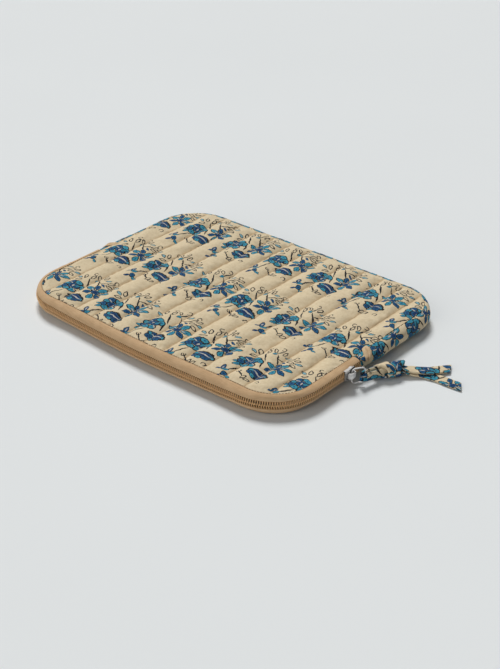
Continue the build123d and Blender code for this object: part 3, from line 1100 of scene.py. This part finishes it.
# One loop of the coil, in (outward, along, up from the zip's middle line)
LOOP = [
    (-2.15, 0.45, 3.3), (-2.1, 0.2, 1.0), (-1.6, 0.05, -0.2),
    (-0.55, -0.05, -0.5), (0.05, -0.12, 0.1), (-0.5, -0.25, 1.3),
    (-0.5, -0.3, 2.7), (-1.0, -0.45, 3.5), (-2.0, -0.5, 3.4),
]


def place_on_rim(line, distance):
    """Point, outward and forward directions at a distance along a rim line."""
    points, outward, along = line
    spot = sampled(points, along, distance)
    out = unit(sampled(outward, along, distance))
    return spot, out, np.array([out[1], -out[0]])


def coil_piece(name, end, turned):
    """Nylon coil: one bent loop after another along the tape's edge."""
    line = rim_line(end, -1, 1.0)
    loop = np.array(LOOP)
    points, faces = [], []
    for k in range(int(line[2][-1] // TOOTH_PITCH)):
        distance = (k + (0.25 if turned else 0.75)) * TOOTH_PITCH
        spot, out, forward = place_on_rim(line, distance)
        plan = spot + out * loop[:, :1] + forward * loop[:, 1:2]
        height = MID + (-loop[:, 2:] if turned else loop[:, 2:])
        path = np.concatenate([plan, height], axis=1)
        faces += tube_faces(len(loop), WIRE_SIDES, first=k * len(loop) * WIRE_SIDES)
        points.append(tube_points(path, WIRE, WIRE_SIDES, (*forward, 0.0)))
    return mesh_piece(name, points, faces, coil_nylon)


def tape_piece(name, end, turned):
    # the tape's near-black brown is painted shade, seen between the coil's loops
    section = [(-3.1, 11.5), (-2.55, 11.45), (-2.5, 12.2), (-2.5, 14.2), (-2.6, 15.9), (-3.1, 15.9),
               (-3.15, 13.5)]
    return rim_piece(name, rim_line(end, -1, 2.6), mirrored(section, turned), tape_painted_shade)


def coil_thread(name, end, turned):
    """The row of sewing that holds the coil to its tape."""
    points, outward, _ = rim_line(end, -1, 0.9)
    column = np.ones((len(points), 1))
    line = np.concatenate([points - outward * 0.85, column * (MID + 3.0)], axis=1)
    normal = np.concatenate([outward, column * 0], axis=1)
    runs = [stitch_run(mirrored(line, turned), TOOTH_PITCH, 0.25, 0.14, 0.18, normal)]
    return stitch_piece(name, runs, thread_painted_shade)


for half, body, end, turned in (("upper", "flap", FLAP_END, False), ("lower", "sleeve", MOUTH_END, True)):
    coil = coil_piece(f"{half}_coil", end, turned)
    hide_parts(f"{half}_zip_coil")
    sewing = coil_thread(f"{half}_coil_sewing", end, turned)
    tape = tape_piece(f"{half}_tape", end, turned)
    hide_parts(f"{half}_zip_tape")
    for piece in (coil, sewing, tape):
        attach(piece, body)


# ---------------------------------------------------------------- end tabs

TAB_ROWS, TAB_COLUMNS = 21, 25
TAB_THICK = 0.55


def tab_piece(name, side, fullness):
    """Folded cloth ear over the zip's end: two soft lobes with a pleat between them."""
    y = np.linspace(0, 1, TAB_COLUMNS)[None, :]
    v = np.linspace(0, 1, TAB_ROWS)[:, None]
    low, high = math.radians(4), math.radians(116)
    angle = low + (high - low) * v
    centre = -8.8 + 9.6 * v
    half = 1.3 + 4.1 * np.sin(math.pi * (0.08 + 0.86 * v)) ** 0.8
    across = centre + half * (2 * y - 1)
    full = np.sin(math.pi * y) ** 0.5 * np.sin(math.pi * np.clip(v * 0.9 + 0.08, 0, 1)) ** 0.6
    pleat = np.exp(-(((y - 0.42 - 0.12 * v) / 0.07) ** 2)) * ease((0.92 - v) / 0.5)
    ridge = np.exp(-(((y - 0.56 - 0.10 * v) / 0.10) ** 2)) * ease((0.9 - v) / 0.5)
    lift = 0.45 + fullness * full - (0.5 + fullness) * pleat + 0.65 * ridge
    lift = lift + 0.08 * ripples(y * 12, v * 14, 6, 4, 9, 12)
    layers = []
    for depth in (0.0, TAB_THICK):
        out = side * (HALF_LENGTH - RIM + (RIM + lift - depth) * np.cos(angle))
        height = MID + (RIM_RISE + lift - depth) * np.sin(angle)
        layers.append(np.stack([out, across, height], axis=2))
    flat = [np.stack(np.broadcast_arrays(y * 13, v * 16, 0.0), axis=2)] * 2
    return smoothed(mesh_piece(name, layers, sheet_faces(TAB_ROWS, TAB_COLUMNS), tab_cotton, flat))


for side, word, fullness in ((1, "right", 1.4), (-1, "left", 0.75)):
    tab = tab_piece(f"end_tab_{word}", side, fullness)
    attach(tab, "sleeve")
    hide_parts(f"zip_end_tab_{word}")


# ---------------------------------------------------------------- slider and ring

SLIDER_Y = -37.0
BRIDGE_WIDTH = 5.8
ZIP_Z = MID + SLIDER_RISE
RING_X, RING_Y, RING_Z = 172.9, -36.0, 9.0 + SLIDER_RISE
RING_HEADING = math.radians(58.0)


def plate(outline, inner, outer, bevel):
    """One plate of the slider, from its outline in (along, up), between two distances outward."""
    shell = bmesh.new()
    x = (HALF_LENGTH + inner) * MM
    face = shell.faces.new(
        [shell.verts.new((x, (SLIDER_Y + y) * MM, (ZIP_Z + z) * MM)) for y, z in outline])
    grown = bmesh.ops.extrude_face_region(shell, geom=[face])["geom"]
    bmesh.ops.translate(shell, vec=((outer - inner) * MM, 0, 0),
                        verts=[item for item in grown if isinstance(item, bmesh.types.BMVert)])
    bmesh.ops.recalc_face_normals(shell, faces=shell.faces)
    bmesh.ops.bevel(shell, geom=shell.edges[:], offset=bevel * MM, segments=3, affect="EDGES",
                    profile=0.6)
    return shell


SLIDER_PLATE = [(-6.8, -3.7), (-5.2, -4.7), (0.5, -5.0), (3.4, -5.7), (6.0, -5.6), (6.8, -4.2),
                (6.8, 4.2), (6.0, 5.6), (3.4, 5.7), (0.5, 5.0), (-5.2, 4.7), (-6.8, 3.7)]
SLIDER_FLANGE = [(-5.6, 3.9), (-5.6, 4.7), (0.5, 4.9), (3.6, 5.6), (5.0, 5.5), (5.0, 4.7), (0.5, 4.1)]
SLIDER_BLADE = [(1.5, -0.25), (5.5, -0.25), (5.5, 0.25), (1.5, 0.25)]
FRAME_BARS = (
    [(-6.6, -3.6), (-5.9, -4.3), (-5.9, 4.3), (-6.6, 3.6)],
    [(-1.6, -4.4), (-0.8, -4.4), (-0.8, 4.4), (-1.6, 4.4)],
    [(-6.2, 3.5), (-0.9, 3.7), (-0.9, 4.5), (-6.2, 4.3)],
    [(-6.2, -3.5), (-0.9, -3.7), (-0.9, -4.5), (-6.2, -4.3)],
)
# Outward and along from the ring's place
BRIDGE_ARCH = np.array([
    (1.2, -4.4), (2.6, -4.3), (4.3, -3.6), (5.2, -2.2), (5.2, 1.6), (4.3, 2.8), (2.6, 3.2), (1.2, 3.2),
])


def bridge_mesh():
    """The arch over the slider that the ring hangs in."""
    path = np.stack([HALF_LENGTH + BRIDGE_ARCH[:, 0], RING_Y + BRIDGE_ARCH[:, 1],
                     np.full(len(BRIDGE_ARCH), ZIP_Z)], axis=1)
    rings = strap_points(curve_through(path, 26), BRIDGE_WIDTH, 1.15, (0, 0, 1))
    bridge = mesh_piece("bridge", rings, tube_faces(*rings.shape[:2]), zip_nickel_painted_light, soft=False)
    mesh = bridge.data
    # slot 2, the lighter nickel: painted light on the bridge
    mesh.polygons.foreach_set("material_index", [2] * len(mesh.polygons))
    bpy.data.objects.remove(bridge)
    return mesh


def slider_piece():
    """Die-cast slider: two flared plates, their flanges, the blade between the coils and the bridge."""
    parts = [
        plate(SLIDER_PLATE, 0.65, 1.7, 0.28),
        plate([(y * 0.9, z * 0.7) for y, z in SLIDER_PLATE], -5.0, -3.6, 0.28),
        plate(SLIDER_FLANGE, -1.5, 0.8, 0.2),
        plate([(y, -z) for y, z in SLIDER_FLANGE], -1.5, 0.8, 0.2),
        plate(SLIDER_BLADE, -3.7, 0.8, 0.05),
        *[plate(bar, 1.6, 2.4, 0.2) for bar in FRAME_BARS],
    ]
    mesh = bpy.data.meshes.new("zip_slider")
    whole = bmesh.new()
    for part in parts:
        part.to_mesh(mesh)
        part.free()
        whole.from_mesh(mesh)
    # painted shade: the outer plate's face inside the frame bars takes the near-black nickel, slot 1
    hollow = (HALF_LENGTH + 1.55) * MM
    for face in whole.faces:
        outward = face.calc_center_median().x
        face.material_index = int(face.normal.x > 0.9 and hollow < outward < hollow + 0.3 * MM)
    whole.from_mesh(bridge_mesh())
    whole.to_mesh(mesh)
    whole.free()
    for material in (zip_nickel, zip_hollow_painted_shade, zip_nickel_painted_light):
        mesh.materials.append(material)
    mesh.polygons.foreach_set("use_smooth", [True] * len(mesh.polygons))
    mesh.set_sharp_from_angle(angle=math.radians(38))
    piece = bpy.data.objects.new("zip_slider", mesh)
    scene.collection.objects.link(piece)
    return piece


def curve_through(path, count):
    """Smooth points through a few given ones, evenly spaced."""
    path = np.asarray(path, float)
    ends = np.concatenate([[2 * path[0] - path[1]], path, [2 * path[-1] - path[-2]]])
    fine = []
    for k in range(len(path) - 1):
        a, b, c, d = ends[k:k + 4]
        square, cube = 2 * a - 5 * b + 4 * c - d, 3 * b - a - 3 * c + d
        fine += [0.5 * (2 * b + (c - a) * t + square * t * t + cube * t ** 3)
                 for t in np.linspace(0, 1, 12, endpoint=False)]
    fine = np.array([*fine, path[-1]])
    along = distances(fine)
    return sampled(fine, along, np.linspace(0, along[-1], count))


SECTION_CORNER = 4          # points round each corner of a strap's section


def strap_section(width, thick):
    """Rounded flat section as (across, through) points."""
    radius = thick * 0.48
    points = []
    for cx, cy, begin in ((1, 1, 0), (-1, 1, 90), (-1, -1, 180), (1, -1, 270)):
        for k in range(SECTION_CORNER):
            angle = math.radians(begin + 90 * k / (SECTION_CORNER - 1))
            points.append((cx * (width / 2 - radius) + radius * math.cos(angle),
                           cy * (thick / 2 - radius) + radius * math.sin(angle)))
    return np.array(points)


def strap_points(path, width, thick, across, wobble=0.0, seed=1):
    """Flat strap along a path: across gives the direction of its width at each point."""
    path = np.asarray(path, float)
    across = np.broadcast_to(np.asarray(across, float), path.shape)
    width = np.broadcast_to(width, len(path))
    tangent = tangents(path)
    side = unit(across - tangent * np.sum(across * tangent, axis=1, keepdims=True))
    through = np.cross(side, tangent)
    along = distances(path)
    rings = []
    for k, spot in enumerate(path):
        section = strap_section(width[k], thick)
        crumple = wobble * ripples(np.full(len(section), along[k]), section[:, 0], 7, 5, 14, seed)
        deep = (section[:, 1] + crumple)[:, None]
        rings.append(spot + side[k] * section[:, :1] + through[k] * deep)
    return np.array(rings)


slider = slider_piece()
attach(slider, "slider")
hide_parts("slider")


RING_REACH, RING_TALL, RING_CORNER = 12.5, 14.8, 3.2
RING_WIRE, RING_SIDES = 0.65, 12


def ring_piece():
    """Bent wire ring with softly rounded corners."""
    heading = np.array([math.cos(RING_HEADING), math.sin(RING_HEADING), 0])
    far, near, half = RING_REACH - RING_CORNER, RING_CORNER, RING_TALL / 2 - RING_CORNER
    points = []
    for cx, cz, begin in ((far, half, 0), (near, half, 90), (near, -half, 180), (far, -half, 270)):
        for k in range(9):
            angle = math.radians(begin + 90 * k / 8)
            points.append((cx + RING_CORNER * math.cos(angle), cz + RING_CORNER * math.sin(angle)))
    outline = np.array(points)
    origin = np.array([RING_X, RING_Y, RING_Z])
    path = origin + heading * outline[:, :1] + np.array([0, 0, 1]) * outline[:, 1:]
    side = np.array([heading[1], -heading[0], 0])
    rings = round_rings(path, side, np.cross(side, loop_tangents(path)), RING_WIRE, RING_SIDES)
    faces = loop_faces(len(path), RING_SIDES)
    # the lighter nickel: painted light on the ring's wire
    return mesh_piece("wire_ring", rings, faces, zip_nickel_painted_light, soft=False)


ring = ring_piece()
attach(ring, "pull_ring")
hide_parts("pull_ring")


# ---------------------------------------------------------------- tie

TIE_WIDTH = 8.4
TAIL_WIDTH = 11.6
TIE_THICK = 1.9
RING_FAR = (179.52, -25.4)
KNOT = (190.0, 5.5, 6.0)
# Each half of the tie: beside the ring, through the knot, and along the floor to its cut end
LONG_HALF = [
    (181.2, -25.0, 9.0), (184.2, -15.0, 8.6), (187.4, -5.0, 7.4), (190.0, 3.0, 5.6), (194.0, 10.4, 3.8),
    (202.6, 17.4, 2.2), (214.0, 22.6, 1.5), (226.0, 24.9, 1.3), (237.4, 24.6, 1.3), (247.0, 25.8, 1.3),
]
SHORT_HALF = [
    (178.9, -24.6, 11.4), (181.4, -14.6, 10.8), (185.0, -4.6, 9.6), (188.6, 2.4, 8.4), (192.8, 10.4, 6.9),
    (203.4, 17.6, 5.2), (213.6, 26.6, 3.9), (218.4, 36.2, 2.7), (224.0, 44.6, 1.9),
]


def tie_route(name, route):
    """The half's centre line, in millimetres, read from its smooth curve."""
    curve = bpy.data.curves.new(name, "CURVE")
    curve.dimensions = "3D"
    spline = curve.splines.new("NURBS")
    spline.points.add(len(route) - 1)
    for point, place in zip(spline.points, route):
        point.co = (*(value * MM for value in place), 1)
    spline.order_u = 3
    spline.use_endpoint_u = True
    spline.resolution_u = 8
    holder = bpy.data.objects.new(name, curve)
    scene.collection.objects.link(holder)
    bpy.context.view_layer.update()
    mesh = bpy.data.meshes.new_from_object(holder)
    points = np.array([vertex.co[:] for vertex in mesh.vertices]) / MM
    bpy.data.meshes.remove(mesh)
    bpy.data.objects.remove(holder)
    bpy.data.curves.remove(curve)
    return points


def tie_half(name, route, rolls, widths, seed, slant):
    """One half of the tie: a folded strip on edge at the ring, gathered in the knot and flat on the floor."""
    path = tie_route(name + "_route", route)
    along = distances(path)
    even = np.linspace(0, along[-1], int(along[-1] / 1.1))
    path = sampled(path, along, even)
    tangent = tangents(path)
    level = unit(np.cross(tangent, (0, 0, 1)))
    upright = np.cross(level, tangent)
    share = even / even[-1]
    roll = np.radians(np.interp(share, *zip(*rolls)))[:, None]
    across = level * np.cos(roll) + upright * np.sin(roll)
    from_knot = np.linalg.norm(path - np.array(KNOT), axis=1)
    width = np.interp(share, *zip(*widths)) * (1 - 0.22 * np.exp(-(from_knot / 6.0) ** 2))
    rings = strap_points(path, width, TIE_THICK, across, 0.16, seed)
    # cut end at an angle
    section = strap_section(TAIL_WIDTH, TIE_THICK)
    for back, lean in ((1, 1.0), (2, 0.7), (3, 0.4)):
        rings[-back] += tangent[-back] * (section[:, :1] * slant * lean)
    rings[:, :, 2] = np.maximum(rings[:, :, 2], 0.25)
    faced = section[:, 0] + np.where(section[:, 1] > 0, 0, TIE_WIDTH)
    piece = mesh_piece(name, rings, tube_faces(*rings.shape[:2]), printed_tie,
                       plain_flat(even[:, None], faced), soft=False)
    return piece, path, even[-1]


long_half, long_path, long_length = tie_half(
    "tie_long_half", LONG_HALF, ((0, 92), (0.20, 88), (0.33, 55), (0.41, 12), (0.52, 3), (1, 0)),
    ((0, TIE_WIDTH), (0.34, TIE_WIDTH), (0.43, TAIL_WIDTH), (1, TAIL_WIDTH)), 31, 0.5)
short_half, short_path, short_length = tie_half(
    "tie_short_half", SHORT_HALF, ((0, 88), (0.24, 92), (0.38, 55), (0.46, 14), (0.58, 3), (1, 0)),
    ((0, TIE_WIDTH), (0.38, TIE_WIDTH), (0.47, TAIL_WIDTH), (1, TAIL_WIDTH)), 32, -0.5)


def wrap_piece(name, centre, axis, radii, width, thick, tilt, seed):
    """One turn of the knot: a flat band round the tie, leaning by tilt."""
    centre, axis = np.array(centre), unit(np.array(axis, float))
    level = unit(np.cross(axis, (0, 0, 1)))
    upright = np.cross(level, axis)
    lean = math.tan(math.radians(tilt))
    angles = np.linspace(0, 2 * math.pi, 49)[:-1]
    turn, climb = np.cos(angles)[:, None], np.sin(angles)[:, None]
    path = centre + radii[0] * turn * level + radii[1] * climb * upright + axis * (radii[0] * lean * turn)
    tangent = loop_tangents(path)
    across = unit(axis - tangent * np.sum(axis * tangent, axis=1, keepdims=True))
    through = np.cross(across, tangent)
    rings = []
    for k, spot in enumerate(path):
        section = strap_section(width * (1 + 0.10 * math.sin(2 * angles[k] + seed)), thick)
        dome = -0.9 * (section[:, 0] / (width / 2)) ** 2 * np.sign(through[k] @ (spot - centre))
        crumple = ripples(np.full(len(section), angles[k] * 6), section[:, 0], 7, 3.5, 11, seed)
        deep = (section[:, 1] + 0.28 * crumple + dome)[:, None]
        rings.append(spot + across[k] * section[:, :1] + through[k] * deep)
    rings = np.array(rings)
    rings[:, :, 2] = np.maximum(rings[:, :, 2], 0.3)
    flat = plain_flat((angles * 6.5)[:, None] + seed * 17, strap_section(width, thick)[:, 0])
    faces = loop_faces(*rings.shape[:2])
    return smoothed(mesh_piece(name, rings, faces, printed_tie, flat, soft=False))


bundle = (KNOT[0] - RING_FAR[0], KNOT[1] - RING_FAR[1], 0)
knot_front = wrap_piece("knot_front_turn", (186.2, -3.0, 7.9), bundle, (7.4, 5.8), 11.0, 2.8, 26, 2)
knot_back = wrap_piece("knot_back_turn", (191.2, 7.0, 6.8), (0.6, 0.8, 0), (8.0, 5.6), 10.4, 2.8, -28, 3)
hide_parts("tie_knot")


def fold_piece():
    """The tie's turn round the ring's wire, joining its two halves."""
    start, end = long_path[0], short_path[0]
    out = unit(np.array([RING_FAR[0] - KNOT[0], RING_FAR[1] - KNOT[1], 0]))
    middle = (start + end) / 2 + out * 5.0
    route = curve_through([long_path[3], start, start + out * 1.3 + (middle - start) * 0.25, middle,
                           end + out * 1.3 + (middle - end) * 0.25, end, short_path[3]], 26)
    rings = strap_points(route, 7.9, TIE_THICK - 0.1, (0, 0, 1), 0.06, 9)
    along = np.linspace(0, 18, len(route))[:, None] + 50
    flat = plain_flat(along, strap_section(TIE_WIDTH, TIE_THICK)[:, 0])
    faces = tube_faces(*rings.shape[:2])
    return mesh_piece("tie_fold", rings, faces, printed_tie, flat, soft=False)


tie_fold = fold_piece()
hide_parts("tie_loop", "tie_tail_long")
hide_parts("tie_tail_short")
for piece in (long_half, short_half, knot_front, knot_back, tie_fold):
    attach(piece, "pull_tie")
